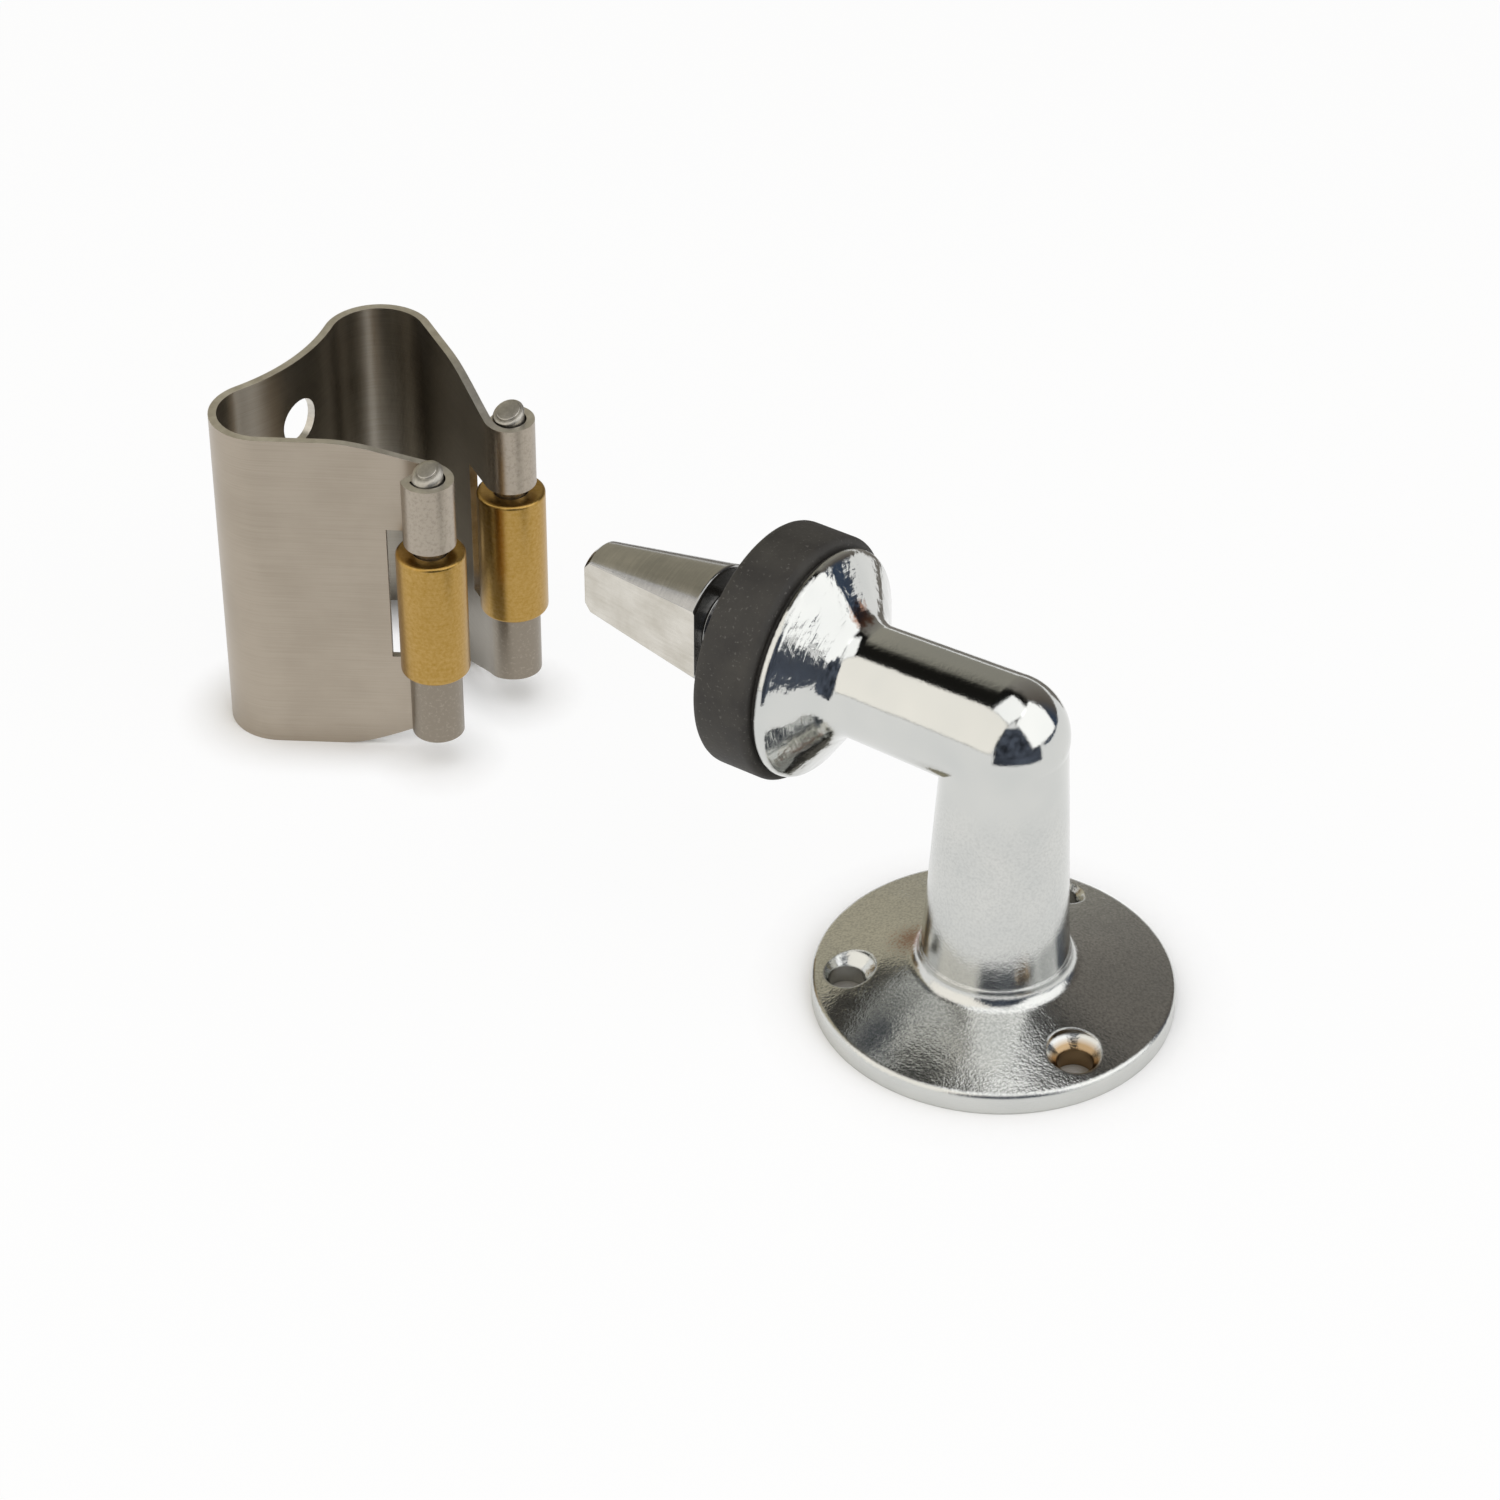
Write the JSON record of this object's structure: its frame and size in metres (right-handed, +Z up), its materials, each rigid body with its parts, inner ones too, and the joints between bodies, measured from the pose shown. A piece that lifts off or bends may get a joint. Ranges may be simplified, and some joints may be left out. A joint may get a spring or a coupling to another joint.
{
  "type": "locking door stop",
  "caption": "Floor door stop with a rubber buffer and a wedge-shaped latch head, with the spring steel clip whose brass rollers close behind the head to hold a door open.",
  "frame": {"origin": "centre of the base's underside, on the floor", "axes": "+Z up along the post, +X along the arm towards the latch head and the clip"},
  "size_m": [0.1549, 0.0559, 0.0615],
  "materials": {
    "chrome": "polished chrome plate on a casting",
    "rubber": "moulded matt black rubber",
    "plated_steel": "turned and milled, dull nickel plate",
    "spring_steel": "satin rolled spring steel",
    "pin_steel": "drawn steel with cropped ends",
    "brass": "turned brass"
  },
  "bodies": {
    "stop_and_clip": {"stop_arm": "chrome", "buffer_ring": "rubber", "latch_head": "plated_steel", "spring_clip": "spring_steel", "left_pin": "pin_steel", "right_pin": "pin_steel"},
    "left_roller": {"left_roller": "brass"},
    "right_roller": {"right_roller": "brass"}
  },
  "joints": [
    {"name": "left_roller_spin", "type": "hinge", "parent": "stop_and_clip", "child": "left_roller", "pos_m": [0.0955, -0.0002, 0.02645], "axis": [0, 0, 1], "continuous": true},
    {"name": "right_roller_spin", "type": "hinge", "parent": "stop_and_clip", "child": "right_roller", "pos_m": [0.0955, -0.0194, 0.02645], "axis": [0, 0, 1], "continuous": true}
  ]
}
